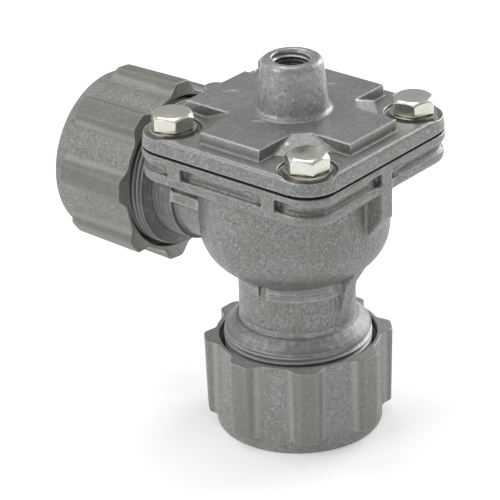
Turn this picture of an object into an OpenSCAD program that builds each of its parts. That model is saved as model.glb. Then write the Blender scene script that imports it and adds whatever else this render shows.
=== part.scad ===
// Right-angle diaphragm pulse valve with a union nut on each port.
// Frame: +Z runs up the outlet axis, z = 0 is the closed end of the outlet nut,
// the inlet points along -X and the square cover lies in line with X and Y.

/* [Pipes and ports] */
// Outer diameter of the pipes that push into the two ports
pipe_d = 33.7; // [30:0.1:36]
// Radial gap between a pipe and its socket
pipe_gap = 0.4; // [0.2:0.05:0.8]
// Wall of a spigot between its socket and the root of its thread
spigot_wall = 6.65; // [5:0.05:8]
// Depth of the pipe sockets, from the spigot's end to the pipe stop
socket_depth = 22; // [16:0.5:24]
// Radius of the outlet throat and of the valve seat's opening
throat_r = 13.5; // [12:0.25:14.5]
// Radius of the inlet duct
duct_r = 14; // [11:0.25:14.5]
// Height of the inlet axis above the outlet nut's closed end
inlet_z = 78.1; // [76:0.1:86]
// Distance from the outlet axis to the inlet nut's closed end
inlet_reach = 82.3; // [80:0.1:100]

/* [Body casting] */
// Inner radius of the bowl around the seat tube
bowl_in_r = 27.5; // [26:0.25:28.5]
// Wall of the bowl
bowl_wall = 4; // [3:0.1:5]
// Height of the curved bottom of the bowl
bowl_drop = 20.3; // [18:0.1:24]
// How full the curved bottom is, 2 for an ellipse and more for a squarer curve
bowl_full = 2.25; // [2:0.05:2.5]
// Distance from the inlet axis down to where the bowl starts to curve in
bowl_curve_drop = 3.9; // [1:0.1:6]
// Wall of the seat tube
seat_wall = 3.2; // [2.5:0.1:4]
// Depth of the seat below the top of the flange
seat_drop = 7.3; // [6.5:0.1:9]
// Wall of the outlet neck around the throat
outlet_neck_wall = 6.2; // [5:0.1:7]
// Wall of the inlet neck around the duct
inlet_neck_wall = 4.8; // [4:0.1:6]
// Height of the raised pads round the top of the outlet neck
pad_h = 5; // [3:0.5:8]
// How far raised pads and bars stand out of the casting
pad_t = 0.8; // [0.4:0.1:1.5]
// Length of the plain band on the inlet neck
band_len = 8.1; // [5:0.1:10]
// Thickness of the web under the bowl and of the rib on the flange
web_t = 5.2; // [3:0.1:7]

/* [Flange] */
// Height of the flange's top face above the inlet axis
flange_rise = 25.6; // [25:0.1:34]
// Distance between neighbouring bolts
bolt_spacing = 56; // [54:0.5:62]
// Distance from a bolt's axis to the edge of the flange
bolt_edge = 10.6; // [9:0.1:13]
// Radius of the corners of the flange, the diaphragm and the cover
corner_r = 11; // [8:0.25:13]
// Thickness of the flange's top lip
lip_t = 2.3; // [2:0.1:3.5]
// Height of the groove round the flange
groove_h = 4; // [3:0.1:5]
// Depth of the groove round the flange
groove_depth = 3; // [1.5:0.1:4]
// Thickness of the plate under the groove
plate_t = 4; // [2.5:0.1:5]
// Width of the ribs that part the groove, two on a long face and one on a short face
groove_rib_w = 5.3; // [3:0.1:7]
// Distance between those two ribs
groove_rib_gap = 38.9; // [30:0.1:42]

/* [Cover] */
// Thickness of the cover's slab
slab_t = 5.2; // [4.5:0.1:7]
// Draft of the slab's side over its height
slab_draft = 0.5; // [0:0.1:1]
// Radius of the slab's top edge
slab_round = 1.5; // [0.5:0.1:2]
// Height of the cross above the slab
cross_h = 4.1; // [3:0.1:6]
// Length of the cross from tip to tip
cross_len = 65.8; // [60:0.2:68]
// Width of an arm of the cross
arm_w = 24.6; // [22:0.2:28]
// Width of the arm on the inlet's side
inlet_arm_w = 30.6; // [28:0.2:32]
// Radius of the half-round pad at the end of the inlet's arm
arm_pad_r = 4; // [2:0.1:5]
// Width of the slope where two arms meet
arm_slope_w = 9.2; // [6:0.2:12]
// Thickness of metal over the diaphragm chamber
roof_t = 4; // [3:0.1:5]
// Radius of the pilot boss at its foot
boss_foot_r = 11.8; // [11.5:0.1:13]
// Radius of the pilot boss near its top
boss_top_r = 10.4; // [9.8:0.1:11]
// Height of the pilot boss above the cross
boss_h = 18.1; // [15:0.1:22]
// Radius of the rim of the pilot boss
boss_round = 2.4; // [1:0.1:3]
// Radius of the pilot thread at its crest circle in the wall
pilot_r = 6.58; // [6:0.02:6.8]
// Depth of the pilot thread
pilot_depth = 12; // [9:0.5:12.5]
// Radius of the passage from the pilot port to the chamber
passage_r = 3.5; // [2:0.1:5]

/* [Diaphragm and spring] */
// Thickness of the rubber diaphragm
diaphragm_t = 1; // [0.8:0.05:1.4]
// How far the diaphragm's edge lies inside the flange's edge
diaphragm_inset = 0.5; // [0.2:0.1:1]
// Thickness of the sealing disc under the diaphragm
seat_disc_t = 2; // [1.5:0.1:2.4]
// Overlap of the sealing disc past the seat's opening
seat_overlap = 3; // [2:0.1:3.2]
// Thickness of the backing plate over the diaphragm
backing_t = 1.5; // [1:0.1:1.8]
// Radius of the backing plate
backing_r = 14; // [12:0.1:15]
// Radius of the rivet's shank
rivet_r = 3; // [2:0.1:4]
// How far the rivet's heads stand out past the shank
rivet_head_w = 2.4; // [1.5:0.1:2.6]
// Thickness of the rivet's heads
rivet_head_t = 1.7; // [1:0.1:1.8]
// Wire diameter of the return spring
wire_d = 1.3; // [1:0.05:1.5]
// Number of turns of the return spring
spring_turns = 5.5; // [4:0.5:7]
// Depth of the spring's pocket above the chamber's roof
pocket_depth = 7.3; // [5:0.1:7.5]

/* [Bolts and washers] */
// Thread diameter of the cover bolts
bolt_d = 8; // [7:0.5:8]
// Length of the bolts under the head
bolt_len = 16; // [14:1:16]
// Width across the flats of the bolt heads
head_af = 13; // [12:0.5:14]
// Height of the bolt heads
head_h = 5.3; // [4.5:0.1:6]
// Thickness of the washers
washer_t = 1.6; // [1:0.1:2]
// Outer radius of the washers
washer_r = 8; // [7.5:0.1:8.5]
// Depth of the washer seats in the cover's slab
spot_depth = 1.2; // [0.6:0.1:1.6]

/* [Union nuts] */
// Length of a union nut
nut_len = 32.15; // [29:0.05:34]
// Wall of the nut's barrel outside its thread
nut_wall = 4.15; // [3:0.05:4.5]
// Thickness of the nut's closed end
nut_end_t = 4.2; // [3:0.1:5]
// Number of grip ribs round a nut
rib_count = 8; // [6:1:10]
// Width of a grip rib at its top
rib_w = 9.2; // [7:0.1:10]
// How far a rib stands out at the nut's open end
rib_out = 3.75; // [3:0.05:5]
// Draft of the nut's outside from its open end to its closed end
nut_draft = 0.7; // [0.4:0.1:2]
// Height of the plain ring below the ribs
rib_foot = 4.1; // [1.5:0.1:4]
// Depth of the plain mouth at the nut's open end
mouth_depth = 3; // [2:0.1:5]
// Turn of the outlet nut's ribs about its axis
outlet_nut_turn = 44; // [0:0.1:45]
// Turn of the inlet nut's ribs about its axis
inlet_nut_turn = 38.5; // [0:0.1:45]
// Thickness of the slip ring inside a nut
slip_t = 1.6; // [1:0.1:2]
// Height of the seal between the slip ring and the spigot's end
seal_flange_t = 3; // [2:0.1:4]
// Height of the seal's taper inside the spigot
seal_taper_h = 4.5; // [3:0.1:6]
// Wall of the seal at its outer flange
seal_wall = 5.4; // [4:0.1:5.6]
// Free length of spigot between the outlet nut and the neck
outlet_free = 7.05; // [6:0.05:9]
// Length of the flare between the outlet's collar and its neck
outlet_flare = 3.2; // [0.5:0.1:4]
// Free length of spigot between the inlet nut and the neck
inlet_free = 5.05; // [4.5:0.05:9]
// Length of the flare between the inlet's collar and its band
inlet_flare = 0.8; // [0.5:0.1:2.5]

/* [Hidden] */
$fn = 96;
// Facets on a rounded corner that is only a smooth shell
soft_fn = 32;
// Small overlap that lets a cut or a joined shape pass its neighbour's face
eps = 0.05;

// Clearances
thread_gap = 0.1;
seal_gap = 0.1;
disc_gap = 0.2;
bolt_gap = 0.05;
cover_hole_gap = 0.5;
spring_gap = 0.15;
washer_gap = 0.3;
rivet_gap = 0.05;
lift_gap = 1;

// Spigots, measured by t, the distance from the nut's closed end towards the body
socket_r = pipe_d / 2 + pipe_gap;
root_r = socket_r + spigot_wall;
thread_depth = 1.1;
spigot_end = nut_end_t + slip_t + seal_gap + seal_flange_t + seal_gap;
outlet_neck_t = nut_len + outlet_free;
inlet_neck_t = nut_len + inlet_free;
outlet_neck_r = throat_r + outlet_neck_wall;
inlet_neck_r = duct_r + inlet_neck_wall;
band_r = inlet_neck_r + 2 * pad_t;
lead_chamfer = 0.8;
cone_r = socket_r + seal_wall - thread_depth;

// Body heights
flange_top = inlet_z + flange_rise;
lip_z = flange_top - lip_t;
plate_top = lip_z - groove_h;
plate_z = plate_top - plate_t;
flange_half = bolt_spacing / 2 + bolt_edge;
bowl_r = bowl_in_r + bowl_wall;
bowl_z = inlet_z - bowl_curve_drop;
bowl_floor_drop = bowl_drop - bowl_wall - pad_t;
bowl_fillet = 3;
plate_inset = 0.4;
plate_round = 1.8;
groove_slope = groove_depth - 0.6;
rib_pocket_reach = groove_rib_w / 2 + 9;
bowl_lean = 0.8;
seat_z = flange_top - seat_drop;
seat_r = throat_r + seat_wall;
neck_top = bowl_z - bowl_drop * pow(1 - pow(outlet_neck_r / bowl_r, bowl_full), 1 / bowl_full);
web_foot = outlet_neck_t + 1.4;
web_reach = outlet_neck_r + 6.8;

// Cover heights
cover_z = flange_top + diaphragm_t;
slab_top = cover_z + slab_t;
spot_z = slab_top - spot_depth;
cross_top = slab_top + cross_h;
roof_z = cross_top - roof_t;
boss_top = cross_top + boss_h;
pocket_z = roof_z + pocket_depth;
spot_r = washer_r + 1.6;
chamber_step = 2;

// Diaphragm stack
disc_z = seat_z + disc_gap;
membrane_z = disc_z + seat_disc_t;
backing_z = membrane_z + diaphragm_t;
backing_top = backing_z + backing_t;
lift = min(6, roof_z - backing_top - rivet_head_t - lift_gap);
disc_r = throat_r + seat_overlap;
pocket_r = rivet_r + rivet_head_w + wire_d + 2 * spring_gap + 1.6;
coil_r = pocket_r - spring_gap - wire_d / 2 - 0.3;
spring_foot = backing_top + spring_gap;
spring_top = pocket_z - spring_gap;

// Nuts
nut_bore_r = root_r + thread_gap;
barrel_r = nut_bore_r + nut_wall;
mouth_r = root_r + thread_depth + 1.6;
rim_wall = 1.6;
open_r = mouth_r + rim_wall;
rib_open_r = barrel_r + rib_out;
rib_closed_r = rib_open_r - nut_draft;
hole_r = socket_r;
edge_round = 0.9;
rib_fillet = 2.2;
rib_round = 2.2;

// Bolts: name order front, right, back, left, each with its place and its turn
bolt_at = bolt_spacing / 2;
bolt_places = [[1, -1], [1, 1], [-1, 1], [-1, -1]];
bolt_turns = [-38.4, -50.1, -20, -41.4];

cast_grey = [0.56, 0.56, 0.54];
cover_grey = [0.48, 0.49, 0.48];
steel = [0.82, 0.81, 0.76];
black_rubber = [0.08, 0.08, 0.08];
zinc = [0.72, 0.72, 0.7];

// Points of an arc round (cx, cy), from angle a0 to a1 in n steps
function arc(cx, cy, r, a0, a1, n) =
    [for (i = [0:n]) let (a = a0 + (a1 - a0) * i / n) [cx + r * cos(a), cy + r * sin(a)]];

// Points of a bowl's curved bottom, from radius r_in at the floor out to r_out
function bowl_curve(r_in, r_out, z, drop, n) =
    [for (i = [0:n])
        let (a0 = acos(pow(r_in / r_out, bowl_full / 2)), a = a0 * (1 - i / n))
        [r_out * pow(cos(a), 2 / bowl_full), z - drop * pow(sin(a), 2 / bowl_full)]];

// Plate with round corners, centred on the Z axis
module plate(half, r, z0, z1) {
    translate([0, 0, z0]) linear_extrude(z1 - z0) union() {
        square([2 * half, 2 * (half - r)], center = true);
        square([2 * (half - r), 2 * half], center = true);
        for (sx = [-1, 1], sy = [-1, 1]) translate([sx * (half - r), sy * (half - r)]) circle(r);
    }
}

// Places its children at one bolt, or at all four
module at_bolts(list = [0, 1, 2, 3]) {
    for (i = list) translate([bolt_places[i][0] * bolt_at, bolt_places[i][1] * bolt_at, 0]) children();
}

// Turns a shape from the outlet's place to the inlet's
module to_inlet() {
    translate([-inlet_reach, 0, inlet_z]) rotate([0, 90, 0]) children();
}

// Outside of a threaded spigot, its collar and the flare that runs down to the neck
module spigot(neck_t, neck_r, flare) {
    collar_t = neck_t - flare - 0.5;
    rotate_extrude() polygon([
        [0, spigot_end],
        [root_r - lead_chamfer, spigot_end],
        [root_r, spigot_end + lead_chamfer],
        [root_r, collar_t - 1.1],
        [root_r + 0.8, collar_t - 0.7],
        [root_r + 0.8, collar_t],
        [neck_r + 1.3, neck_t - 0.25],
        [neck_r + 0.9, neck_t],
        [neck_r + 0.1, neck_t + 0.2],
        [neck_r, neck_t + 1],
        [0, neck_t + 1]
    ]);
}

// Socket, pipe stop and tapered mouth inside a spigot
module socket_cut() {
    translate([0, 0, spigot_end - eps]) cylinder(r = socket_r, h = socket_depth + eps);
    translate([0, 0, spigot_end]) cylinder(r1 = cone_r, r2 = socket_r, h = seal_taper_h + seal_gap);
    translate([0, 0, spigot_end - 1]) cylinder(r = cone_r, h = 1 + eps);
}

// Block with the flange's outline, whose side follows [inset, height] points from bottom to top
module edge_block(profile) {
    core = flange_half - corner_r;
    low = profile[0][1];
    high = profile[len(profile) - 1][1];
    for (sx = [-1, 1], sy = [-1, 1]) translate([sx * core, sy * core, 0]) rotate_extrude()
        polygon(concat([[0, low]], [for (p = profile) [corner_r - p[0], p[1]]], [[0, high]]));
    for (a = [0, 90]) rotate([90, 0, a]) translate([0, 0, -core]) linear_extrude(2 * core)
        polygon(concat(
            [for (p = profile) [flange_half - p[0], p[1]]],
            [for (i = [len(profile) - 1:-1:0]) [profile[i][0] - flange_half, profile[i][1]]]
        ));
}

// Places its children at the six ribs of the flange's sides, with the side as the XZ plane
module at_ribs() {
    for (sx = [-1, 1]) {
        for (a = [0, 180]) rotate([0, 0, a]) translate([sx * groove_rib_gap / 2, -flange_half, 0]) children();
        rotate([0, 0, sx * 90]) translate([0, -flange_half, 0]) children();
    }
}

// Square flange: lip, groove with a sloping wall, round-edged plate, and ribs with a pocket on each side
module flange() {
    difference() {
        edge_block(concat(
            arc(plate_inset + plate_round, plate_z + plate_round, plate_round, 270, 180, 4),
            [[plate_inset, plate_top - 0.4], [plate_inset + 0.4, plate_top], [groove_slope, plate_top]],
            [[0, lip_z], [0, flange_top]]
        ));
        at_ribs() translate([0, 0, plate_top]) linear_extrude(groove_h)
            polygon([[-rib_pocket_reach, 0], [-groove_rib_w / 2, groove_depth], [groove_rib_w / 2, groove_depth],
                [rib_pocket_reach, 0], [rib_pocket_reach, -1], [-rib_pocket_reach, -1]]);
    }
    at_ribs() translate([-groove_rib_w / 2, 0, plate_top - 0.5])
        cube([groove_rib_w, 2 * groove_depth, groove_h + 1]);
}

// Outside of the bowl with its curved bottom and the fillet under the flange
module bowl() {
    rotate_extrude() polygon(concat(
        [[0, neck_top - 1], [outlet_neck_r, neck_top - 1]],
        bowl_curve(outlet_neck_r, bowl_r, bowl_z, bowl_drop, 14),
        arc(bowl_r + bowl_fillet, plate_z - bowl_fillet, bowl_fillet, 180, 90, 5),
        [[bowl_r + bowl_fillet, plate_z + 1], [0, plate_z + 1]]
    ));
}

// Web from the bowl down the outlet neck, and the rib that runs from the flange down the bowl
module webs() {
    translate([0, web_t / 2, 0]) rotate([90, 0, 0]) linear_extrude(web_t) union() {
        polygon([
            [0, web_foot], [outlet_neck_r + 0.2, web_foot],
            [outlet_neck_r + 2.3, neck_top - 7.3], [outlet_neck_r + 3.9, neck_top - 0.6],
            [web_reach, neck_top + bowl_wall], [web_reach, bowl_z], [0, bowl_z]
        ]);
        polygon([
            [0, bowl_z], [bowl_r - 0.5, bowl_z + 1],
            [flange_half - 1, plate_z - 10], [flange_half, plate_z - 8.5], [flange_half, plate_top],
            [0, plate_top]
        ]);
    }
}

// Two raised pads round the top of the outlet neck, parted by a narrow gap
module neck_pads() {
    pad_top = neck_top + 2;
    intersection() {
        translate([0, 0, neck_top - pad_h]) cylinder(r = outlet_neck_r + pad_t, h = pad_h + 2);
        union() {
            rotate([0, 0, -50]) translate([0, 0, pad_top - pad_h / 2 - 1]) rotate([0, 0, 8])
                translate([outlet_neck_r / 2 + 6, 0, 0]) cube([outlet_neck_r, 25, pad_h + 6], center = true);
            rotate([0, 0, -50 - 62]) translate([outlet_neck_r / 2 + 6, 0, pad_top - pad_h / 2])
                cube([outlet_neck_r, 16, pad_h + 6], center = true);
        }
    }
}

// Everything solid of the casting before it is bored
module body_outside() {
    flange();
    bowl();
    // The bowl is a little fuller on the inlet's side
    translate([-bowl_lean, 0, -0.3]) bowl();
    webs();
    spigot(outlet_neck_t, outlet_neck_r, outlet_flare);
    translate([0, 0, outlet_neck_t]) cylinder(r = outlet_neck_r, h = neck_top - outlet_neck_t);
    neck_pads();
    to_inlet() {
        spigot(inlet_neck_t, band_r, inlet_flare);
        translate([0, 0, inlet_neck_t]) cylinder(r = band_r, h = band_len);
        translate([0, 0, inlet_neck_t]) cylinder(r = inlet_neck_r, h = inlet_reach - inlet_neck_t - seat_r);
    }
    // Bar along the inlet neck, at the height of the mould's parting line
    for (sy = [-1, 1])
        translate([-inlet_reach + inlet_neck_t + band_len - 1, sy * (band_r - 3) - 3, inlet_z - 0.4])
            cube([12, 6, 3.9]);
}

// Ring chamber between the bowl and the seat tube, open at the top
module chamber_cut() {
    rotate_extrude() polygon(concat(
        bowl_curve(seat_r, bowl_in_r, bowl_z, bowl_floor_drop, 12),
        [[bowl_in_r, flange_top + 1], [0, flange_top + 1], [0, seat_z], [seat_r - 1, seat_z], [seat_r, seat_z - 1]]
    ));
}

module valve_body() {
    color(cast_grey) difference() {
        body_outside();
        chamber_cut();
        socket_cut();
        translate([0, 0, spigot_end]) cylinder(r = throat_r, h = seat_z - spigot_end + 1);
        to_inlet() {
            socket_cut();
            translate([0, 0, spigot_end]) cylinder(r = duct_r, h = inlet_reach - spigot_end - seat_r - 4);
        }
        at_bolts() translate([0, 0, plate_z - 1])
            cylinder(r = bolt_d / 2 + bolt_gap, h = flange_top - plate_z + 2);
    }
}

// Slab of the cover, with drafted sides and a round top edge
module slab() {
    top_r = corner_r - slab_draft;
    hull() for (sx = [-1, 1], sy = [-1, 1])
        translate([sx * (flange_half - corner_r), sy * (flange_half - corner_r), 0])
            rotate_extrude($fn = soft_fn) polygon(concat(
                [[0, cover_z], [corner_r, cover_z]],
                arc(top_r - slab_round, slab_top - slab_round, slab_round, 0, 90, 5),
                [[0, slab_top]]
            ));
}

// Raised cross, with a slope down to each bolt where two arms meet
module cross() {
    slope_at = (arm_w + arm_slope_w / 2) / sqrt(2);
    slope_run = 7.5;
    translate([0, 0, slab_top - eps]) linear_extrude(cross_h + eps) union() {
        square([cross_len, arm_w], center = true);
        square([arm_w, cross_len], center = true);
        translate([-cross_len / 2, -inlet_arm_w / 2]) square([cross_len / 2, inlet_arm_w]);
    }
    translate([-cross_len / 2, 0, slab_top - eps]) cylinder(r = arm_pad_r, h = cross_h - 0.5 + eps);
    for (i = [0:3]) rotate([0, 0, 90 * i]) intersection() {
        translate([arm_w / 2 - 1, arm_w / 2 - 1, slab_top - eps]) cube([18, 18, cross_h + 1]);
        rotate([0, 0, 45]) translate([0, 20, 0]) rotate([90, 0, 0]) linear_extrude(40) polygon([
            [0, slab_top - eps], [slope_at + slope_run, slab_top - eps],
            [slope_at, cross_top], [0, cross_top]
        ]);
    }
}

// Pilot boss, turned with a foot fillet and a round rim
module boss() {
    foot = 2.3;
    rotate_extrude() polygon(concat(
        [[0, cross_top - 1], [boss_foot_r + foot, cross_top - 1]],
        arc(boss_foot_r + foot, cross_top + foot, foot, 270, 185, 5),
        arc(boss_top_r - boss_round, boss_top - boss_round, boss_round, 8, 90, 7),
        [[0, boss_top]]
    ));
}

module cover() {
    mark_r = 3.1;
    mark_depth = 0.25;
    color(cover_grey) difference() {
        union() {
            slab();
            cross();
            boss();
        }
        at_bolts() {
            translate([0, 0, spot_z]) cylinder(r = spot_r, h = cross_top - spot_z + 1);
            translate([0, 0, cover_z - 1]) cylinder(r = bolt_d / 2 + cover_hole_gap, h = slab_t + 2);
        }
        // Diaphragm chamber, spring pocket and pilot passage
        rotate_extrude() polygon([
            [0, cover_z - 1], [bowl_in_r, cover_z - 1], [bowl_in_r, cover_z + chamber_step * 0.6],
            [backing_r + 3, roof_z], [0, roof_z]
        ]);
        translate([0, 0, roof_z - 1]) cylinder(r = pocket_r, h = pocket_depth + 1);
        translate([0, 0, pocket_z - 1]) cylinder(r = passage_r, h = boss_top - pocket_z);
        translate([0, 0, boss_top - pilot_depth]) cylinder(r = pilot_r, h = pilot_depth + 1);
        translate([0, 0, boss_top - 0.4]) cylinder(r1 = pilot_r, r2 = pilot_r + 0.9, h = 0.9);
        // Round marks that the mould's ejector pins leave
        for (p = [[-1.4, -17.2], [-0.8, 21], [-24.1, -2.6]])
            translate([p[0], p[1], cross_top - mark_depth]) cylinder(r = mark_r, h = 1);
    }
}

// Middle line of the diaphragm's flexing part, from the clamped rim in to the middle
module diaphragm() {
    rim_r = bowl_in_r - 1.5;
    fall_r = disc_r + 1.5;
    line = concat(
        [[rim_r + 3, flange_top], [rim_r, flange_top]],
        [for (i = [1:7]) let (f = i / 8, s = (1 - cos(180 * f)) / 2)
            [rim_r + (fall_r - rim_r) * f, flange_top + (membrane_z - flange_top) * s]],
        [[fall_r, membrane_z], [rivet_r + rivet_gap, membrane_z]]
    );
    n = len(line);
    color(black_rubber) difference() {
        union() {
            difference() {
                plate(flange_half - diaphragm_inset, corner_r - diaphragm_inset, flange_top, cover_z);
                translate([0, 0, flange_top - 1]) cylinder(r = rim_r + 1, h = diaphragm_t + 2);
            }
            rotate_extrude() polygon(concat(
                line,
                [for (i = [n - 1:-1:0]) [line[i][0], line[i][1] + diaphragm_t]]
            ));
        }
        at_bolts() translate([0, 0, flange_top - 1]) cylinder(r = bolt_d / 2 + cover_hole_gap, h = diaphragm_t + 2);
    }
}

// Flat ring, from its foot at z0
module ring(r_in, r_out, z0, h) {
    translate([0, 0, z0]) difference() {
        cylinder(r = r_out, h = h);
        translate([0, 0, -1]) cylinder(r = r_in, h = h + 2);
    }
}

module seat_disc() {
    color(black_rubber) ring(rivet_r + rivet_gap, disc_r, disc_z, seat_disc_t);
}

module backing_plate() {
    color(zinc) ring(rivet_r + rivet_gap, backing_r, backing_z, backing_t);
}

module centre_rivet() {
    head_r = rivet_r + rivet_head_w;
    color(steel) rotate_extrude() polygon([
        [0, disc_z - rivet_head_t], [head_r - 0.6, disc_z - rivet_head_t], [head_r, disc_z - rivet_head_t + 0.6],
        [head_r, disc_z], [rivet_r, disc_z], [rivet_r, backing_top],
        [head_r, backing_top], [head_r, backing_top + rivet_head_t - 0.6],
        [head_r - 0.6, backing_top + rivet_head_t], [0, backing_top + rivet_head_t]
    ]);
}

// Coil spring, a wire swept round a helix whose end turns lie flat
module return_spring() {
    sides = 8;
    per_turn = 16;
    steps = spring_turns * per_turn;
    low = spring_foot + wire_d / 2;
    high = spring_top - wire_d / 2;
    // Share of the height reached at share f of the wire, flat over the first and last turn
    function climb(f) = let (flat = 0.75 / spring_turns, g = (f - flat) / (1 - 2 * flat)) max(0, min(1, g));
    rise = (high - low) - 2 * wire_d * 0.75;
    points = [for (i = [0:steps], j = [0:sides - 1])
        let (
            f = i / steps,
            a = 360 * spring_turns * f,
            z = low + wire_d * 0.75 * (min(f * spring_turns / 0.75, 1) + max(0, 1 - (1 - f) * spring_turns / 0.75))
                + rise * climb(f),
            b = 360 * j / sides,
            r = coil_r + wire_d / 2 * cos(b)
        )
        [r * cos(a), r * sin(a), z + wire_d / 2 * sin(b)]];
    faces = concat(
        [[for (j = [0:sides - 1]) j]],
        [for (i = [0:steps - 1], j = [0:sides - 1])
            [i * sides + j, (i + 1) * sides + j, (i + 1) * sides + (j + 1) % sides, i * sides + (j + 1) % sides]],
        [[for (j = [sides - 1:-1:0]) steps * sides + j]]
    );
    color(steel) polyhedron(points = points, faces = faces, convexity = 10);
}

// Hexagon bolt with a chamfered head, standing at its place in the cover
module bolt(i) {
    head_z = spot_z + washer_t;
    corner = head_af / 2 / cos(30);
    color(steel) at_bolts([i]) {
        rotate([0, 0, bolt_turns[i]]) intersection() {
            translate([0, 0, head_z]) cylinder(r = corner, h = head_h, $fn = 6);
            rotate_extrude() polygon([
                [0, head_z - 1], [corner + 1, head_z - 1], [corner + 1, head_z + head_h - 1.7],
                [head_af / 2 - 0.7, head_z + head_h], [0, head_z + head_h]
            ]);
        }
        rotate_extrude() polygon([
            [0, head_z + 0.5], [bolt_d / 2, head_z + 0.5], [bolt_d / 2, head_z - bolt_len + 1],
            [bolt_d / 2 - 1, head_z - bolt_len], [0, head_z - bolt_len]
        ]);
    }
}

module washer(i) {
    color(steel) at_bolts([i]) ring(bolt_d / 2 + washer_gap, washer_r, spot_z, washer_t);
}

// Cross-section of one grip rib, with soft flanks and round corners
module rib_section() {
    fillet_y = rib_w / 2 + rib_fillet + 0.5;
    fillet_x = sqrt(pow(barrel_r + rib_fillet, 2) - pow(fillet_y, 2));
    side = concat(
        [[barrel_r - 2, fillet_y - rib_fillet / 2]],
        arc(fillet_x, fillet_y, rib_fillet, 180 + atan(fillet_y / fillet_x), 270, 4),
        arc(rib_open_r - rib_round, rib_w / 2 - rib_round, rib_round, 90, 0, 5)
    );
    polygon(concat(
        [for (p = side) [p[0], -p[1]]],
        [for (i = [len(side) - 1:-1:0]) side[i]]
    ));
}

// Union nut, open end up: a drafted barrel with grip ribs, a threaded bore and a pipe hole
module union_nut() {
    color(cast_grey) difference() {
        union() {
            rotate_extrude() polygon(concat(
                [[0, 0]],
                arc(barrel_r - edge_round, edge_round, edge_round, 270, 360, 5),
                [[open_r, nut_len], [0, nut_len]]
            ));
            intersection() {
                rotate_extrude() polygon([
                    [0, rib_foot], [rib_closed_r - 1.1, rib_foot], [rib_closed_r - 0.2, rib_foot + 0.9],
                    [rib_closed_r, rib_foot + 2],
                    [rib_open_r, nut_len], [0, nut_len]
                ]);
                for (i = [0:rib_count - 1]) rotate([0, 0, 360 * i / rib_count]) linear_extrude(nut_len)
                    rib_section();
            }
        }
        translate([0, 0, -1]) cylinder(r = hole_r, h = nut_end_t + 2);
        translate([0, 0, nut_end_t]) cylinder(r = nut_bore_r, h = nut_len);
        translate([0, 0, nut_len - mouth_depth]) cylinder(r = mouth_r, h = mouth_depth + 1);
    }
}

module slip_ring() {
    color(zinc) ring(hole_r, nut_bore_r - 1, nut_end_t, slip_t);
}

// Rubber seal: a flat flange on the slip ring and a taper that fits the spigot's mouth
module pipe_seal() {
    foot = nut_end_t + slip_t + seal_gap;
    color(black_rubber) rotate_extrude() polygon([
        [socket_r, foot], [socket_r + seal_wall - 0.5, foot], [socket_r + seal_wall, foot + 0.5],
        [socket_r + seal_wall, foot + seal_flange_t], [cone_r - seal_gap, foot + seal_flange_t],
        [cone_r - seal_gap, spigot_end],
        [socket_r + 0.6, spigot_end + seal_taper_h - 0.8], [socket_r, spigot_end + seal_taper_h - 0.8]
    ]);
}

valve_body();
cover();
diaphragm();
seat_disc();
backing_plate();
centre_rivet();
return_spring();
bolt(0);  // bolt_front
bolt(1);  // bolt_right
bolt(2);  // bolt_back
bolt(3);  // bolt_left
washer(0);  // washer_front
washer(1);  // washer_right
washer(2);  // washer_back
washer(3);  // washer_left
rotate([0, 0, outlet_nut_turn]) union_nut();  // outlet_nut
slip_ring();  // outlet_slip_ring
pipe_seal();  // outlet_seal
to_inlet() rotate([0, 0, inlet_nut_turn]) union_nut();  // inlet_nut
to_inlet() slip_ring();  // inlet_slip_ring
to_inlet() pipe_seal();  // inlet_seal
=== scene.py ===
import math

import bmesh
import bpy
import numpy as np
from mathutils import Matrix, Vector


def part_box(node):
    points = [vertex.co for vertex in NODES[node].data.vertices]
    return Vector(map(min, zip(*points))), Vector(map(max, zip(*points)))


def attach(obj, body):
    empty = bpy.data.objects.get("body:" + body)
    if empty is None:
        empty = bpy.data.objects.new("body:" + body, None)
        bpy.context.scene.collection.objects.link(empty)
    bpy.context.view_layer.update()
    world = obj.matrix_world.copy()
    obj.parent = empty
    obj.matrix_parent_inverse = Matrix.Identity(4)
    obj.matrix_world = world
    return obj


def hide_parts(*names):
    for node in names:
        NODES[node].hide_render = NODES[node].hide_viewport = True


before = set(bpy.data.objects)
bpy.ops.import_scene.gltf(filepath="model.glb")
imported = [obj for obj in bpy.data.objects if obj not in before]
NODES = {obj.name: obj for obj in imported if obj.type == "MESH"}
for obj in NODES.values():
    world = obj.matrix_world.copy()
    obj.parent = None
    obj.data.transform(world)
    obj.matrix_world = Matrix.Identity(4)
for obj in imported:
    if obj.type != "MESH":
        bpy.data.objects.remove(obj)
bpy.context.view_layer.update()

MM = 0.001

# Sizes of the solids that the finer pieces follow, in millimetres
INLET = Matrix(((0, 0, 1, -82.3), (0, 1, 0, 0), (-1, 0, 0, 78.1), (0, 0, 0, 1)))
NUT_LEN = 32.15
BARREL_R = 28.15
BARREL_OPEN_R = 28.2
RIB_OPEN_R = 31.9
RIB_CLOSED_R = 31.2
RIB_FOOT = 4.1
RIB_HALF = 4.6
OUTLET_NECK = 39.2
OUTLET_NECK_R = 19.7
INLET_NECK = 37.2
INLET_BAND_R = 20.4
INLET_BAND_END = 45.3
INLET_NECK_R = 18.8
NUT_END = 4.2
PIPE_R = 17.25
NUT_BORE_R = 25.25
MOUTH_R = 26.6
MOUTH_DEPTH = 3.0
OUTLET_TURN = 44.0
INLET_TURN = 38.5
THREAD_ROOT = 23.9
THREAD_CREST = 25.0
THREAD_PITCH = 2.0


def smooth(t):
    """Eases from 0 to 1 as t goes from 0 to 1; works on arrays."""
    t = np.clip(t, 0.0, 1.0)
    return t * t * (3 - 2 * t)


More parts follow.
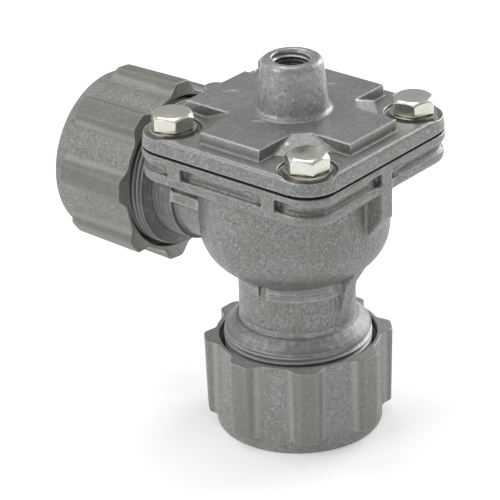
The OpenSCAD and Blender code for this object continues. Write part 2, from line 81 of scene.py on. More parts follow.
def add_mesh(name, verts_mm, faces, matrix=None):
    """A new object in the row frame from points in millimetres."""
    points = np.asarray(verts_mm, dtype=float)
    if matrix is not None:
        m = np.array(matrix)
        points = points @ m[:3, :3].T + m[:3, 3]
    mesh = bpy.data.meshes.new(name)
    mesh.from_pydata([tuple(p) for p in points * MM], [], faces)
    mesh.validate()
    bm = bmesh.new()
    bm.from_mesh(mesh)
    bmesh.ops.remove_doubles(bm, verts=bm.verts, dist=1e-7)
    bmesh.ops.recalc_face_normals(bm, faces=bm.faces)
    bm.to_mesh(mesh)
    bm.free()
    obj = bpy.data.objects.new(name, mesh)
    bpy.context.scene.collection.objects.link(obj)
    return obj


def shade(obj, angle=None):
    """Smooth shading, with edges sharper than angle (degrees) kept crisp."""
    mesh = obj.data
    mesh.polygons.foreach_set("use_smooth", [True] * len(mesh.polygons))
    if angle is not None:
        mesh.set_sharp_from_angle(angle=math.radians(angle))


def place(obj, body, slot, material, *nodes):
    """Gives a piece its body and its material, and hides the nodes that it stands for; slot is not used."""
    obj.data.materials.clear()
    obj.data.materials.append(material)
    if nodes:
        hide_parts(*nodes)
    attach(obj, body)
    return obj


def baked(obj):
    """Turns an object's modifiers into its mesh."""
    bpy.context.view_layer.update()
    graph = bpy.context.evaluated_depsgraph_get()
    mesh = bpy.data.meshes.new_from_object(obj.evaluated_get(graph))
    obj.modifiers.clear()
    obj.data = mesh
    return obj


# ---- Materials ----
class Tree:
    """Short way to write a node tree."""

    def __init__(self, material):
        self.tree = material.node_tree
        self.tree.nodes.clear()

    def node(self, kind, values=None, **props):
        n = self.tree.nodes.new(kind)
        for key, value in props.items():
            setattr(n, key, value)
        for key, value in (values or {}).items():
            if isinstance(value, bpy.types.NodeSocket):
                self.tree.links.new(value, n.inputs[key])
            else:
                n.inputs[key].default_value = value
        return n

    def noise(self, coords, scale, detail=2.0, rough=0.5, distortion=0.0):
        return self.node("ShaderNodeTexNoise", {"Vector": coords, "Scale": scale, "Detail": detail,
                                                "Roughness": rough, "Distortion": distortion}).outputs["Fac"]

    def ramp(self, fac, *stops):
        n = self.node("ShaderNodeValToRGB", {"Fac": fac})
        n.color_ramp.elements[0].position = stops[0][0]
        n.color_ramp.elements[1].position = stops[-1][0]
        for position, _ in stops[1:-1]:
            n.color_ramp.elements.new(position)
        for element, (position, value) in zip(n.color_ramp.elements, stops):
            element.position = position
            element.color = value if isinstance(value, tuple) else (value, value, value, 1)
        return n.outputs["Color"]

    def math(self, op, a, b=0.0, c=0.0):
        return self.node("ShaderNodeMath", {0: a, 1: b, 2: c}, operation=op).outputs[0]

    def mix(self, fac, a, b, mode="MIX"):
        n = self.node("ShaderNodeMix", {"Factor": fac}, data_type="RGBA", blend_type=mode)
        for socket, value in ((n.inputs[6], a), (n.inputs[7], b)):
            if isinstance(value, bpy.types.NodeSocket):
                self.tree.links.new(value, socket)
            else:
                socket.default_value = value
        return n.outputs[2]


def rgb(r, g, b):
    """Linear colour from sRGB values of 0 to 255."""
    return tuple(((c / 255 + 0.055) / 1.055) ** 2.4 if c > 10 else c / 3294 for c in (r, g, b)) + (1.0,)


def around(t, coords, axis):
    """Distance from an axis, given as a point on it and its direction."""
    point, along = axis
    across = tuple(1.0 - c for c in along)
    away = t.node("ShaderNodeVectorMath", {0: coords, 1: point}, operation="SUBTRACT").outputs[0]
    flat = t.node("ShaderNodeVectorMath", {0: away, 1: across}, operation="MULTIPLY").outputs[0]
    return t.node("ShaderNodeVectorMath", {0: flat}, operation="LENGTH").outputs["Value"]


def between(t, value, low, high):
    """Rises from 0 at low to 1 at high."""
    return t.node("ShaderNodeMapRange", {"Value": value, "From Min": low, "From Max": high}).outputs["Result"]


def painted_corner_shade(t, colour, base, reach, amount):
    """Painted shade: darker metal in tight corners, found by ambient occlusion."""
    open_share = t.node("ShaderNodeAmbientOcclusion", {"Distance": reach}, samples=6).outputs["AO"]
    corner = t.math("MULTIPLY", between(t, open_share, 0.85, 0.35), amount)
    return t.mix(corner, colour, tuple(c * 0.35 for c in base[:3]) + (1.0,))


def cast_metal(name, base, rough=0.55, metal=0.6, grain=1.0, stain=1.0, wear_and_highlight=0.6, corner=0.0022,
               smooth_band=None, ribs=None):
    """Die-cast aluminium: fine grain, bright flecks, dark pores, blotches, paler edges (partly wear, partly painted
    highlight) and painted shade in creases and tight corners.

    Between the first two heights of smooth_band (metres) the skin is smoother and plainer, and up to the third one
    the wall above them is paler, painted light; below them the sides are darker, painted shade. With an axis in
    ribs, the ribs that stand out round it are browner, and their feet paler, a painted highlight.
    """
    material = bpy.data.materials.new(name)
    material.use_nodes = True
    t = Tree(material)
    coords = t.node("ShaderNodeTexCoord").outputs["Object"]
    fine = t.noise(coords, 1350, 3, 0.7)
    mid = t.noise(coords, 480, 3, 0.6)
    wide = t.noise(coords, 80, 4, 0.6, 0.4)
    flecks = t.ramp(t.noise(coords, 900, 2, 0.6), (0.60, 0.0), (0.70, 1.0))
    pores = t.ramp(t.noise(coords, 780, 3, 0.6), (0.30, 1.0), (0.38, 0.0))
    sparks = t.ramp(t.noise(coords, 620, 4, 0.75), (0.54, 0.0), (0.64, 1.0))
    if smooth_band:
        height = t.node("ShaderNodeSeparateXYZ", {"Vector": coords}).outputs["Z"]
        below = t.math("LESS_THAN", height, smooth_band[0])
        above = t.math("GREATER_THAN", height, smooth_band[1])
        skin = t.math("ADD", t.math("MULTIPLY", below, 0.3), t.math("MULTIPLY", above, 0.8))
    # Mask of convex edges, made paler below: partly wear, partly painted highlight
    edges = t.ramp(t.node("ShaderNodeNewGeometry").outputs["Pointiness"], (0.505, 0.0), (0.56, 1.0))
    # Mask of concave creases, darkened below as painted shade
    crease_shade_mask = t.ramp(t.node("ShaderNodeNewGeometry").outputs["Pointiness"], (0.44, 1.0), (0.495, 0.0))

    dark = tuple(c * 0.60 for c in base[:3]) + (1.0,)
    light = tuple(min(1.0, c * 1.45) for c in base[:3]) + (1.0,)
    pale = tuple(min(1.0, c * 2.0) for c in base[:3]) + (1.0,)
    olive = (base[0] * 0.84, base[1] * 0.84, base[2] * 0.74, 1.0)
    plain = base
    # Painted light on the wall above the smooth band, painted shade on the sides below it
    if smooth_band:
        painted_light_wall = t.math("MULTIPLY", above, t.math("LESS_THAN", height, smooth_band[2]))
        plain = t.mix(t.math("MULTIPLY", painted_light_wall, 0.8), base, light)
        plain = t.mix(t.math("MULTIPLY", below, 0.65), plain, dark)
    colour = t.mix(t.math("MULTIPLY", t.ramp(mid, (0.34, 1.0), (0.66, 0.0)), 0.6 * grain), plain, dark)
    colour = t.mix(t.math("MULTIPLY", t.ramp(fine, (0.44, 0.0), (0.62, 1.0)), 0.7 * grain), colour, light)
    colour = t.mix(t.math("MULTIPLY", t.ramp(wide, (0.46, 0.0), (0.68, 1.0)), 0.5 * stain), colour, olive)
    colour = t.mix(t.math("MULTIPLY", flecks, 0.45 * grain), colour, pale)
    colour = t.mix(t.math("MULTIPLY", pores, 0.6 * grain), colour, dark)
    if smooth_band:
        colour = t.mix(t.math("MULTIPLY", sparks, skin), colour, pale)
    if ribs:
        brown = (base[0] * 0.70, base[1] * 0.69, base[2] * 0.60, 1.0)
        r = around(t, coords, ribs)
        facing = t.node("ShaderNodeVectorMath", {0: t.node("ShaderNodeNewGeometry").outputs["Normal"], 1: ribs[1]},
                        operation="DOT_PRODUCT").outputs["Value"]
        side = between(t, t.math("ABSOLUTE", facing), 0.7, 0.4)
        crest = t.math("MULTIPLY", between(t, r, 0.0296, 0.0306), side)
        # Rib feet turn paler: a painted highlight where the fillets catch light
        foot = between(t, t.math("ABSOLUTE", t.math("SUBTRACT", r, 0.0292)), 0.0010, 0.0002)
        colour = t.mix(t.math("MULTIPLY", crest, 0.55), colour, brown)
        colour = t.mix(t.math("MULTIPLY", t.math("MULTIPLY", foot, side), 0.7), colour, light)
    else:
        # Painted shade in concave creases
        colour = t.mix(t.math("MULTIPLY", crease_shade_mask, 0.5), colour, dark)
    # Paler edges: partly wear, partly painted highlight
    colour = t.mix(t.math("MULTIPLY", edges, wear_and_highlight), colour, pale)
    # Painted shade in tight corners
    colour = painted_corner_shade(t, colour, base, corner, 0.7)

    roughness = t.math("ADD", t.math("MULTIPLY", t.math("SUBTRACT", mid, 0.5), 0.25), rough)
    roughness = t.math("SUBTRACT", roughness, t.math("MULTIPLY", edges, 0.1))
    height = t.math("ADD", t.math("MULTIPLY", fine, 0.5), t.math("MULTIPLY", mid, 0.8))
    height = t.math("SUBTRACT", height, t.math("MULTIPLY", pores, 0.3))
    bump = t.node("ShaderNodeBump", {"Strength": 0.55 * grain, "Distance": 0.00022, "Height": height})
    shader = t.node("ShaderNodeBsdfPrincipled", {
        "Base Color": colour, "Metallic": metal, "Roughness": roughness, "Normal": bump.outputs[0]})
    t.node("ShaderNodeOutputMaterial", {"Surface": shader.outputs[0]})
    return material


def turned_metal(name, base, axis, rough=0.48):
    """Machined aluminium: fine rings round the axis, scratches, paler edges (partly wear, partly painted highlight)
    and painted shade in corners.
    """
    material = bpy.data.materials.new(name)
    material.use_nodes = True
    t = Tree(material)
    coords = t.node("ShaderNodeTexCoord").outputs["Object"]
    along = t.node("ShaderNodeVectorMath", {0: coords, 1: axis[1]}, operation="DOT_PRODUCT").outputs["Value"]
    height = t.math("ADD", along, t.math("MULTIPLY", around(t, coords, axis), 0.7))
    rings = t.node("ShaderNodeTexNoise", {"W": t.math("MULTIPLY", height, 1150.0), "Scale": 1.0, "Detail": 3.0},
                   noise_dimensions="1D").outputs["Fac"]
    mid = t.noise(coords, 420, 4, 0.65)
    edges = t.ramp(t.node("ShaderNodeNewGeometry").outputs["Pointiness"], (0.51, 0.0), (0.57, 1.0))
    dark = tuple(c * 0.62 for c in base[:3]) + (1.0,)
    pale = tuple(min(1.0, c * 1.7) for c in base[:3]) + (1.0,)
    colour = t.mix(t.math("MULTIPLY", t.ramp(rings, (0.40, 1.0), (0.52, 0.0)), 0.75), base, dark)
    colour = t.mix(t.math("MULTIPLY", t.ramp(mid, (0.36, 1.0), (0.60, 0.0)), 0.5), colour, dark)
    colour = t.mix(t.math("MULTIPLY", t.ramp(mid, (0.52, 0.0), (0.70, 1.0)), 0.5), colour, pale)
    # Paler edges: partly wear, partly painted highlight
    colour = t.mix(t.math("MULTIPLY", edges, 0.75), colour, pale)
    # Painted shade in tight corners
    colour = painted_corner_shade(t, colour, base, 0.0016, 0.85)
    roughness = t.math("ADD", t.math("MULTIPLY", t.math("SUBTRACT", mid, 0.5), 0.3), rough)
    bump = t.node("ShaderNodeBump", {"Strength": 0.9, "Distance": 0.0003, "Height": t.math("ADD", rings, mid)})
    shader = t.node("ShaderNodeBsdfPrincipled", {
        "Base Color": colour, "Metallic": 0.5, "Roughness": roughness, "Normal": bump.outputs[0]})
    t.node("ShaderNodeOutputMaterial", {"Surface": shader.outputs[0]})
    return material


def plated_steel(name, base, rough=0.22, streak=1.0):
    """Zinc-plated or bright steel: light smears, fine scratches and small dull specks."""
    material = bpy.data.materials.new(name)
    material.use_nodes = True
    t = Tree(material)
    coords = t.node("ShaderNodeTexCoord").outputs["Object"]
    smears = t.noise(coords, 180, 4, 0.6, 0.8)
    fine = t.noise(coords, 2200, 2, 0.5)
    specks = t.ramp(t.noise(coords, 900, 2, 0.6), (0.64, 0.0), (0.72, 1.0))
    warm = (base[0], base[1] * 0.95, base[2] * 0.84, 1.0)
    dull = tuple(c * 0.55 for c in base[:3]) + (1.0,)
    colour = t.mix(t.math("MULTIPLY", t.ramp(smears, (0.40, 0.0), (0.70, 1.0)), 0.6 * streak), base, warm)
    colour = t.mix(t.math("MULTIPLY", specks, 0.5 * streak), colour, dull)
    roughness = t.math("ADD", t.math("MULTIPLY", t.math("SUBTRACT", smears, 0.5), 0.30 * streak), rough)
    bump = t.node("ShaderNodeBump", {"Strength": 0.12 * streak, "Distance": 0.0001,
                                     "Height": t.math("ADD", fine, smears)})
    shader = t.node("ShaderNodeBsdfPrincipled", {
        "Base Color": colour, "Metallic": 1.0, "Roughness": roughness, "Normal": bump.outputs[0]})
    t.node("ShaderNodeOutputMaterial", {"Surface": shader.outputs[0]})
    return material


def rubber(name, base):
    """Black moulded rubber with a faint bloom."""
    material = bpy.data.materials.new(name)
    material.use_nodes = True
    t = Tree(material)
    coords = t.node("ShaderNodeTexCoord").outputs["Object"]
    bloom = t.noise(coords, 150, 4, 0.6)
    fine = t.noise(coords, 1800, 2, 0.5)
    grey = tuple(c * 2.2 for c in base[:3]) + (1.0,)
    colour = t.mix(t.ramp(bloom, (0.45, 0.0), (0.75, 1.0)), base, grey)
    roughness = t.math("ADD", t.math("MULTIPLY", bloom, 0.2), 0.65)
    bump = t.node("ShaderNodeBump", {"Strength": 0.2, "Distance": 0.0001, "Height": fine})
    shader = t.node("ShaderNodeBsdfPrincipled", {
        "Base Color": colour, "Roughness": roughness, "Specular IOR Level": 0.2, "Normal": bump.outputs[0]})
    t.node("ShaderNodeOutputMaterial", {"Surface": shader.outputs[0]})
    return material


OUTLET_AXIS = ((0.0, 0.0, 0.0), (0.0, 0.0, 1.0))
INLET_AXIS = ((0.0, 0.0, 0.0781), (1.0, 0.0, 0.0))
BODY_METAL = cast_metal("cast_body", rgb(131, 133, 129), 0.44, 0.6, 1.35, 1.0, 0.6, 0.0013)
# One turned finish in two tones: paler at the outlet as painted light, darker at the inlet as painted shade
OUTLET_TURNED_PAINTED_LIGHTER = turned_metal("cast_body_turned_outlet", rgb(156, 158, 154), OUTLET_AXIS)
INLET_TURNED_PAINTED_DARKER = turned_metal("cast_body_turned_inlet", rgb(128, 130, 126), INLET_AXIS)
COVER_METAL = cast_metal("cast_cover", rgb(140, 142, 139), 0.38, 0.65, 0.9, 1.0, 0.75, 0.0042,
                         smooth_band=(0.1094, 0.1148, 0.1314))
# One nut casting in two tones: paler at the outlet as painted light, darker at the inlet as painted shade
OUTLET_NUT_METAL_PAINTED_LIGHTER = cast_metal("cast_nut_outlet", rgb(144, 146, 142), 0.50, 0.4, 1.15, 1.0, 0.5, 0.0012,
                              ribs=OUTLET_AXIS)
INLET_NUT_METAL_PAINTED_DARKER = cast_metal("cast_nut_inlet", rgb(132, 134, 129), 0.50, 0.5, 1.15, 1.0, 0.5, 0.0012,
                             ribs=INLET_AXIS)
BOLT_STEEL = plated_steel("plated_steel", rgb(214, 214, 205), 0.27, 1.5)
WASHER_STEEL = plated_steel("plated_washer", rgb(178, 178, 171), 0.30)
INNER_STEEL = plated_steel("plain_steel", rgb(190, 190, 188), 0.32)
SPRING_STEEL = plated_steel("spring_steel", rgb(165, 165, 165), 0.3)
RUBBER = rubber("black_rubber", (0.006, 0.006, 0.006, 1.0))


# ---- Castings, copied from the solids with the soft edges of a casting ----
def casting(node, body, slot, material, voxel, rounds, limit, trim=None):
    """A node's shape with rounded edges, as a denser mesh; trim may move its points, in millimetres."""
    source = NODES[node]
    obj = bpy.data.objects.new(node + "_cast", source.data.copy())
    bpy.context.scene.collection.objects.link(obj)
    remesh = obj.modifiers.new("Remesh", "REMESH")
    remesh.mode = "VOXEL"
    remesh.voxel_size = voxel * MM
    soften = obj.modifiers.new("Smooth", "SMOOTH")
    soften.factor = 0.5
    soften.iterations = rounds
    baked(obj)
    count = sum(len(p.vertices) - 2 for p in obj.data.polygons)
    if count > limit:
        thin = obj.modifiers.new("Decimate", "DECIMATE")
        thin.ratio = limit / count
        baked(obj)
    low, high = (np.array(c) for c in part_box(node))
    points = np.empty(len(obj.data.vertices) * 3)
    obj.data.vertices.foreach_get("co", points)
    points = np.clip(points.reshape(-1, 3), low, high)
    if trim is not None:
        points = trim(points / MM) * MM
    obj.data.vertices.foreach_set("co", points.ravel())
    obj.data.update()
    shade(obj)
    return place(obj, body, slot, material, node)


def under_details(points):
    """Sinks the casting a little where crisper turned pieces and pads lie over it."""
    points = points.copy()
    x, y, z = points.T
    r = np.hypot(x, y)
    ramp = smooth((z - 33.6) / 0.8) * (1 - smooth((z - OUTLET_NECK - 0.6) / 1.2))
    hit = (r > 19) & (r < 26)
    scale = np.where(hit, 1 - 0.5 * ramp / np.maximum(r, 1), 1.0)
    off_web = np.abs(np.degrees(np.arctan2(y, x))) > 9
    pad = off_web & (z > 43) & (z < 56.6) & (r > OUTLET_NECK_R) & (r < 21.6)
    scale = np.where(pad, (OUTLET_NECK_R + 0.02) / np.maximum(r, 1), scale)
    points[:, 0] *= scale
    points[:, 1] *= scale
    t = points[:, 0] + 82.3
    height = points[:, 2] - 78.1
    rho = np.hypot(points[:, 1], height)
    ramp = smooth((t - 33.9) / 0.8) * (1 - smooth((t - INLET_BAND_END + 0.9) / 0.9))
    hit = (rho > 18) & (rho < 26) & ((t < 43.2) | (height < 13.0))
    scale = np.where(hit, 1 - 0.5 * ramp / np.maximum(rho, 1), 1.0)
    points[:, 1] *= scale
    points[:, 2] = 78.1 + height * scale
    return points


body_cast = casting("valve_body", "valve", "cast_body", BODY_METAL, 0.45, 3, 190000, under_details)
cover_cast = casting("cover", "valve", "cast_cover", COVER_METAL, 0.36, 3, 190000)


# ---- Turned flares, band and pads that lie over the casting ----
def rounded(points, radius):
    """A polyline with each inner corner cut and arched by up to radius."""
    out = [points[0]]
    for a, b, c in zip(points, points[1:], points[2:]):
        a, b, c = (np.array(p, dtype=float) for p in (a, b, c))
        cut = min(radius, np.linalg.norm(a - b) * 0.45, np.linalg.norm(c - b) * 0.45)
        start = b + (a - b) / np.linalg.norm(a - b) * cut
        end = b + (c - b) / np.linalg.norm(c - b) * cut
        out += [tuple(start * (1 - f) ** 2 + b * 2 * f * (1 - f) + end * f ** 2) for f in (0, 0.33, 0.67, 1)]
    out.append(points[-1])
    fine = [out[0]]
    for a, b in zip(out, out[1:]):
        parts = max(1, math.ceil(math.dist(a, b) / 0.6))
        fine += [tuple(np.array(a) + (np.array(b) - np.array(a)) * k / parts) for k in range(1, parts + 1)]
    return fine


def turned(name, profile, inner, matrix, start=0.0, end=360.0, foot=None):
    """A ring, or part of one, turned from an outside profile of (radius, height) and closed at the inner radius."""
    loop = list(profile) + [(inner, profile[-1][1]), (inner, profile[0][1])]
    closed = end - start >= 360
    count = int((end - start) / 1.5)
    rows = count if closed else count + 1
    verts = []
    for i in range(rows):
        degrees = start + (end - start) * i / count
        a = math.radians(degrees)
        lift = foot(degrees) if foot else 0.0
        top = max(z for _, z in loop)
        low = min(z for _, z in loop)
        for r, z in loop:
            verts.append((r * math.cos(a), r * math.sin(a), z + lift * (top - z) / (top - low)))
    n = len(loop)
    faces = []
    for i in range(count):
        a, b = i * n, ((i + 1) % rows) * n
        for j in range(n):
            k = (j + 1) % n
            faces.append((a + j, b + j, b + k, a + k))
    if not closed:
        faces.append(tuple(range(n)))
        faces.append(tuple(count * n + j for j in reversed(range(n))))
    obj = add_mesh(name, verts, faces, matrix)
    shade(obj, 40)
    return obj


def flare(name, neck, neck_r, length, tail, matrix):
    """Collar and flare of a spigot, then the neck or band that starts at neck."""
    collar = neck - length - 0.5
    root = THREAD_ROOT + 0.02
    profile = [(root, collar - 2.2), (root, collar - 1.1), (root + 0.8, collar - 0.7), (root + 0.8, collar),
               (neck_r + 1.3, neck - 0.25), (neck_r + 0.9, neck), (neck_r + 0.08, neck + 0.2)] + tail
    return turned(name, rounded(profile, 0.3), 18.0, matrix)


place(flare("outlet_flare", OUTLET_NECK, OUTLET_NECK_R, 3.2,
            [(OUTLET_NECK_R + 0.03, OUTLET_NECK + 1.8), (OUTLET_NECK_R - 0.2, OUTLET_NECK + 2.4)], None),
      "valve", "cast_body", OUTLET_TURNED_PAINTED_LIGHTER)
place(flare("inlet_flare", INLET_NECK, INLET_BAND_R - 0.35, 0.8,
            [(INLET_BAND_R - 0.3, INLET_NECK + 0.7), (INLET_BAND_R + 0.03, INLET_NECK + 0.8),
             (INLET_BAND_R + 0.03, INLET_BAND_END), (INLET_NECK_R + 0.1, INLET_BAND_END + 0.15),
             (INLET_NECK_R - 0.2, INLET_BAND_END + 1.0)], INLET),
      "valve", "cast_body", INLET_TURNED_PAINTED_DARKER)
PAD = rounded([(19.4, 52.3), (20.5, 52.4), (20.5, 58.2)], 0.3)
place(turned("neck_pad_front", PAD, 18.6, None, -81.0, -9.5), "valve", "cast_body", OUTLET_TURNED_PAINTED_LIGHTER)
place(turned("neck_pad_left", PAD, 18.6, None, -141.0, -90.0, lambda d: 0.9 + 4.2 * ((-90 - d) / 51) ** 2),
      "valve", "cast_body", OUTLET_TURNED_PAINTED_LIGHTER)
for side in (-1, 1):
    bar = bmesh.new()
    bmesh.ops.create_cube(bar, size=1.0, matrix=Matrix.Translation((-31.0, side * 18.9, 79.65))
                          @ Matrix.Diagonal((13.0, 3.1, 3.9, 1)))
    bmesh.ops.bevel(bar, geom=list(bar.edges), offset=0.35, segments=3, affect="EDGES")
    long_edges = [e for e in bar.edges if e.calc_length() > 1]
    bmesh.ops.subdivide_edges(bar, edges=long_edges, cuts=8, use_grid_fill=True)
    corners = [tuple(v.co) for v in bar.verts]
    sides = [tuple(v.index for v in f.verts) for f in bar.faces]
    bar.free()
    piece = add_mesh("inlet_bar_" + ("front" if side < 0 else "back"), corners, sides)
    shade(piece, 40)
    place(piece, "valve", "cast_body", BODY_METAL)


# ---- Screw threads ----
def thread(name, root, crest, pitch, start, end, matrix, inner=False):
    """A helical ridge of V section from start to end along the axis, fading out at both ends."""
    per_turn = 72
    turns = (end - start) / pitch
    steps = int(turns * per_turn)
    sink = 0.15 if not inner else -0.15
    verts, faces = [], []
    for i in range(steps + 1):
        f = i / steps
        angle = 2 * math.pi * turns * f
        z = start + (end - start) * f
        fade = min(1.0, f * turns / 0.5, (1 - f) * turns / 0.5)
        top = root + (crest - root) * max(fade, 0.02)
        base = root - sink
        half = pitch * 0.46
        flat = pitch * 0.07
        for r, dz in ((base, -half), (top, -flat), (top, flat), (base, half)):
            verts.append((r * math.cos(angle), r * math.sin(angle), z + dz))
    for i in range(steps):
        a, b = 4 * i, 4 * (i + 1)
        for j in range(4):
            faces.append((a + j, a + (j + 1) % 4, b + (j + 1) % 4, b + j))
    faces.append((0, 1, 2, 3))
    faces.append(tuple(4 * steps + k for k in (3, 2, 1, 0)))
    obj = add_mesh(name, verts, faces, matrix)
    shade(obj, 40)
    return obj


place(thread("outlet_thread", THREAD_ROOT, THREAD_CREST, THREAD_PITCH, 10.6, 35.2, None),
      "valve", "cast_body", OUTLET_TURNED_PAINTED_LIGHTER)
place(thread("inlet_thread", THREAD_ROOT, THREAD_CREST, THREAD_PITCH, 10.6, 35.6, INLET),
      "valve", "cast_body", INLET_TURNED_PAINTED_DARKER)
place(thread("pilot_thread", 6.58, 5.8, 1.337, 121.2, 131.2, None, inner=True),
      "valve", "cast_cover", COVER_METAL)


# ---- Union nuts ----
def rib_profile():
    """Half of a rib's section from its middle outward: distances across, and heights as a share of the rib's."""
    flat, foot = RIB_HALF - 1.8, RIB_HALF + 2.4
    points = [(flat * f, 1.0) for f in (0, 0.35, 0.7, 1)]
    for f in np.linspace(0, 1, 17)[1:]:
        points.append((flat + (foot - flat) * f, float(1 - smooth(f))))
    return points


def nut_ring(z):
    """One ring of points round the nut's outside at height z, with soft ribs that end in a round foot."""
    share = z / NUT_LEN
    barrel = BARREL_R + (BARREL_OPEN_R - BARREL_R) * share
    crest = RIB_CLOSED_R + (RIB_OPEN_R - RIB_CLOSED_R) * max(0.0, (z - RIB_FOOT) / (NUT_LEN - RIB_FOOT))
    rise = float(smooth((z - RIB_FOOT + 0.5) / 1.7))
    corner = 2.3
    climb = min(max(z - RIB_FOOT + 0.3, 0.0), corner)
    narrow = 1 - (corner - math.sqrt(corner ** 2 - (corner - climb) ** 2)) / (RIB_HALF + 2.7)
    half = [(y * narrow, barrel + (crest - barrel) * h * rise) for y, h in rib_profile()]
    half = [(math.asin(y / r), r) for y, r in half]
    last = half[-1][0]
    half += [(a, barrel) for a in np.linspace(last, math.pi / 8, 6)[1:-1]]
    sector = [(-a, r) for a, r in half[:0:-1]] + half + [(math.pi / 8, barrel)]
    return [(k * math.pi / 4 + a, r) for k in range(8) for a, r in sector]


def union_nut(name, matrix, turn):
    """The nut as one closed mesh: ribbed outside, open end, bore and closed end."""
    rows = []
    edge = 0.9
    for a in np.linspace(0, math.pi / 2, 6):
        rows.append((edge * (1 - math.cos(a)), -edge * (1 - math.sin(a))))
    rows += [(z, 0.0) for z in np.arange(1.5, RIB_FOOT - 0.6, 0.6)]
    rows += [(z, 0.0) for z in np.arange(RIB_FOOT - 0.5, RIB_FOOT + 2.3, 0.2)]
    rows += [(z, 0.0) for z in np.linspace(RIB_FOOT + 2.4, NUT_LEN - 0.5, 30)]
    lip = 0.45
    for a in np.linspace(0, math.pi / 2, 5):
        rows.append((NUT_LEN - lip * (1 - math.sin(a)), -lip * (1 - math.cos(a))))
    rings = []
    for z, inset in rows:
        rings.append([((r + inset) * math.cos(a), (r + inset) * math.sin(a), z) for a, r in nut_ring(z)])
    count = len(rings[0])
    inner = [(MOUTH_R + 0.3, NUT_LEN), (MOUTH_R, NUT_LEN - 0.3), (MOUTH_R, NUT_LEN - MOUTH_DEPTH),
             (NUT_BORE_R, NUT_LEN - MOUTH_DEPTH - 0.8), (NUT_BORE_R, NUT_END + 0.5),
             (NUT_BORE_R - 0.5, NUT_END), (PIPE_R + 0.02, NUT_END), (PIPE_R + 0.02, 0.4), (PIPE_R + 0.42, 0.0)]
    for r, z in inner:
        rings.append([(r * math.cos(a), r * math.sin(a), z) for a, _ in nut_ring(NUT_LEN)])
    verts = [p for ring in rings for p in ring]
    faces = []
    total = len(rings)
    for i in range(total):
        a, b = i * count, ((i + 1) % total) * count
        for j in range(count):
            k = (j + 1) % count
            faces.append((a + j, a + k, b + k, b + j))
    turned = Matrix.Rotation(math.radians(turn), 4, "Z")
    obj = add_mesh(name, verts, faces, (matrix @ turned) if matrix is not None else turned)
    shade(obj, 35)
    return obj


place(union_nut("outlet_nut_ribbed", None, OUTLET_TURN), "outlet_nut_turning", "cast_nut", OUTLET_NUT_METAL_PAINTED_LIGHTER,
      "outlet_nut")
place(union_nut("inlet_nut_ribbed", INLET, INLET_TURN), "inlet_nut_turning", "cast_nut", INLET_NUT_METAL_PAINTED_DARKER,
      "inlet_nut")


# ---- Bolts and washers ----
def hex_bolt(name, node, turn):
    """Bolt with a rounded hexagon head, a faint bearing face and a plain shank."""
    low, high = (np.array(c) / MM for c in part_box(node))
    cx, cy = round((low[0] + high[0]) / 2), round((low[1] + high[1]) / 2)
    cx, cy = math.copysign(28, cx), math.copysign(28, cy)
    top = high[2]
    head_h = 5.3
    flat = 6.5
    crown = flat - 0.7
    corner_cap = flat / math.cos(math.radians(30)) - 0.12
    shank_r = 4.0
    bottom = low[2]
    count = 360
    angles = np.radians(np.arange(count))
    # Corners of the hexagon lie at multiples of 60 degrees
    side = flat / np.cos((np.degrees(angles) % 60 - 30) * math.pi / 180)
    side = np.minimum(side, corner_cap)
    drop = (side - crown) * 0.63
    path = [
        (np.full(count, 0.02), np.full(count, top)),
        (np.full(count, crown - 0.3), np.full(count, top)),
        (np.full(count, crown), np.full(count, top - 0.06)),
        (side - 0.1, top - drop - 0.04),
        (side, top - drop - 0.18),
        (side, np.full(count, top - head_h + 0.35)),
        (side - 0.15, np.full(count, top - head_h + 0.2)),
        (np.full(count, flat - 0.2), np.full(count, top - head_h)),
        (np.full(count, shank_r), np.full(count, top - head_h)),
        (np.full(count, shank_r), np.full(count, bottom + 1.0)),
        (np.full(count, shank_r - 1.0), np.full(count, bottom)),
        (np.full(count, 0.02), np.full(count, bottom)),
    ]
    verts, faces = [], []
    for r, z in path:
        verts += [(r[j] * math.cos(angles[j]), r[j] * math.sin(angles[j]), z[j]) for j in range(count)]
    for i in range(len(path) - 1):
        for j in range(count):
            k = (j + 1) % count
            faces.append((i * count + j, i * count + k, (i + 1) * count + k, (i + 1) * count + j))
    faces.append(tuple(range(count)))
    faces.append(tuple((len(path) - 1) * count + j for j in range(count)))
    matrix = Matrix.Translation((cx, cy, 0)) @ Matrix.Rotation(math.radians(turn), 4, "Z")
    obj = add_mesh(name, verts, faces, matrix)
    shade(obj, 28)
    return obj


BOLT_TURNS = {"front": -38.4, "right": -50.1, "back": -20.0, "left": -41.4}
for where, turn in BOLT_TURNS.items():
    place(hex_bolt("hex_bolt_" + where, "bolt_" + where, turn), "valve", "plated_steel", BOLT_STEEL,
          "bolt_" + where)


# ---- CAD nodes that are shown as they are, with softened edges ----
def dress(node, material, bevel=0.15):
    """Gives a CAD node its material and a small bevel."""
    obj = NODES[node]
    for i in range(len(obj.material_slots)):
        obj.material_slots[i].material = material
    if not obj.material_slots:
        obj.data.materials.append(material)
    if bevel:
        edge = obj.modifiers.new("Bevel", "BEVEL")
        edge.width = bevel * MM
        edge.segments = 2
        edge.limit_method = "ANGLE"
        edge.angle_limit = math.radians(40)


for where in BOLT_TURNS:
    dress("washer_" + where, WASHER_STEEL, 0.25)
dress("diaphragm", RUBBER, 0)
dress("seat_disc", RUBBER, 0.2)
dress("backing_plate", INNER_STEEL, 0.15)
dress("centre_rivet", INNER_STEEL, 0.15)
dress("return_spring", SPRING_STEEL, 0)
dress("outlet_slip_ring", INNER_STEEL, 0.1)
dress("inlet_slip_ring", INNER_STEEL, 0.1)
dress("outlet_seal", RUBBER, 0.15)
dress("inlet_seal", RUBBER, 0.15)


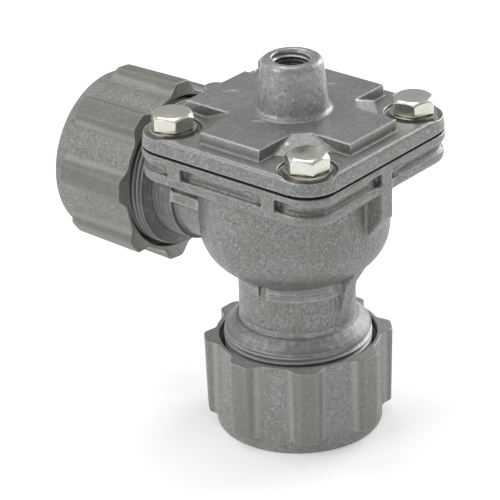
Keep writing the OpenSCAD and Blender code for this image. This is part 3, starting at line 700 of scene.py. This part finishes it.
# ---- Floor, world, lights, camera ----
def white_floor():
    """Pale floor that shows white to the camera and keeps the object's shadow."""
    mesh = bpy.data.meshes.new("floor")
    size = 3.0
    mesh.from_pydata([(-size, -size, 0), (size, -size, 0), (size, size, 0), (-size, size, 0)], [], [(0, 1, 2, 3)])
    floor = bpy.data.objects.new("floor", mesh)
    bpy.context.scene.collection.objects.link(floor)
    material = bpy.data.materials.new("floor_white")
    material.use_nodes = True
    t = Tree(material)
    path = t.node("ShaderNodeLightPath")
    seen = t.math("MAXIMUM", path.outputs["Is Camera Ray"],
                  t.math("MAXIMUM", path.outputs["Is Glossy Ray"], path.outputs["Is Transmission Ray"]))
    diffuse = t.node("ShaderNodeBsdfDiffuse", {"Color": (0.88, 0.88, 0.88, 1)})
    glow = t.node("ShaderNodeEmission", {"Color": (1, 1, 1, 1), "Strength": t.math("MULTIPLY", seen, 0.3)})
    both = t.node("ShaderNodeAddShader", {0: diffuse.outputs[0], 1: glow.outputs[0]})
    t.node("ShaderNodeOutputMaterial", {"Surface": both.outputs[0]})
    mesh.materials.append(material)


def studio_world():
    """Even pale surround, plain white to the camera."""
    world = bpy.data.worlds.new("studio")
    bpy.context.scene.world = world
    world.use_nodes = True
    tree = world.node_tree
    tree.nodes.clear()
    new = tree.nodes.new
    path = new("ShaderNodeLightPath")
    soft = new("ShaderNodeBackground")
    soft.inputs["Color"].default_value = (0.95, 0.97, 1.0, 1)
    soft.inputs["Strength"].default_value = 0.47
    white = new("ShaderNodeBackground")
    white.inputs["Strength"].default_value = 1.0
    mix = new("ShaderNodeMixShader")
    out = new("ShaderNodeOutputWorld")
    tree.links.new(path.outputs["Is Camera Ray"], mix.inputs[0])
    tree.links.new(soft.outputs[0], mix.inputs[1])
    tree.links.new(white.outputs[0], mix.inputs[2])
    tree.links.new(mix.outputs[0], out.inputs[0])


def area_light(name, position, target, size, power):
    light = bpy.data.lights.new(name, "AREA")
    light.shape = "SQUARE"
    light.size = size
    light.energy = power
    obj = bpy.data.objects.new(name, light)
    bpy.context.scene.collection.objects.link(obj)
    direction = Vector(target) - Vector(position)
    obj.matrix_world = Matrix.Translation(position) @ direction.to_track_quat("-Z", "Y").to_matrix().to_4x4()


white_floor()
studio_world()
area_light("top_soft", (-0.35, 0.1, 1.2), (0, 0, 0.08), 0.9, 5.5)
area_light("front_left", (-0.45, -1.0, 0.7), (0, 0, 0.07), 0.7, 4.6)
area_light("side_left", (-1.1, -0.25, 0.5), (0, 0, 0.07), 0.7, 1.2)
area_light("back_right", (0.15, 1.05, 0.5), (0, 0, 0.07), 0.7, 7.0)

# Camera fitted to the photo: azimuth, elevation and roll in degrees, distance and target in metres
AZIMUTH, ELEVATION, ROLL = (math.radians(a) for a in (39.92, 26.05, -1.74))
DISTANCE = 1.03863
TARGET = Vector((-0.01505, -0.00612, 0.06043))
back = Vector((math.sin(AZIMUTH) * math.cos(ELEVATION), -math.cos(AZIMUTH) * math.cos(ELEVATION),
               math.sin(ELEVATION)))
right = Vector((math.cos(AZIMUTH), math.sin(AZIMUTH), 0))
up = back.cross(right)
cam_x = right * math.cos(ROLL) + up * math.sin(ROLL)
cam_y = up * math.cos(ROLL) - right * math.sin(ROLL)
lens = bpy.data.cameras.new("camera")
lens.lens = 222.94
lens.sensor_width = 36
lens.sensor_fit = "HORIZONTAL"
lens.clip_start = 0.05
lens.clip_end = 20
camera = bpy.data.objects.new("camera", lens)
bpy.context.scene.collection.objects.link(camera)
place_m = Matrix((cam_x, cam_y, back)).transposed().to_4x4()
place_m.translation = TARGET + back * DISTANCE
camera.matrix_world = place_m
bpy.context.scene.camera = camera
bpy.context.scene.view_settings.view_transform = "Standard"
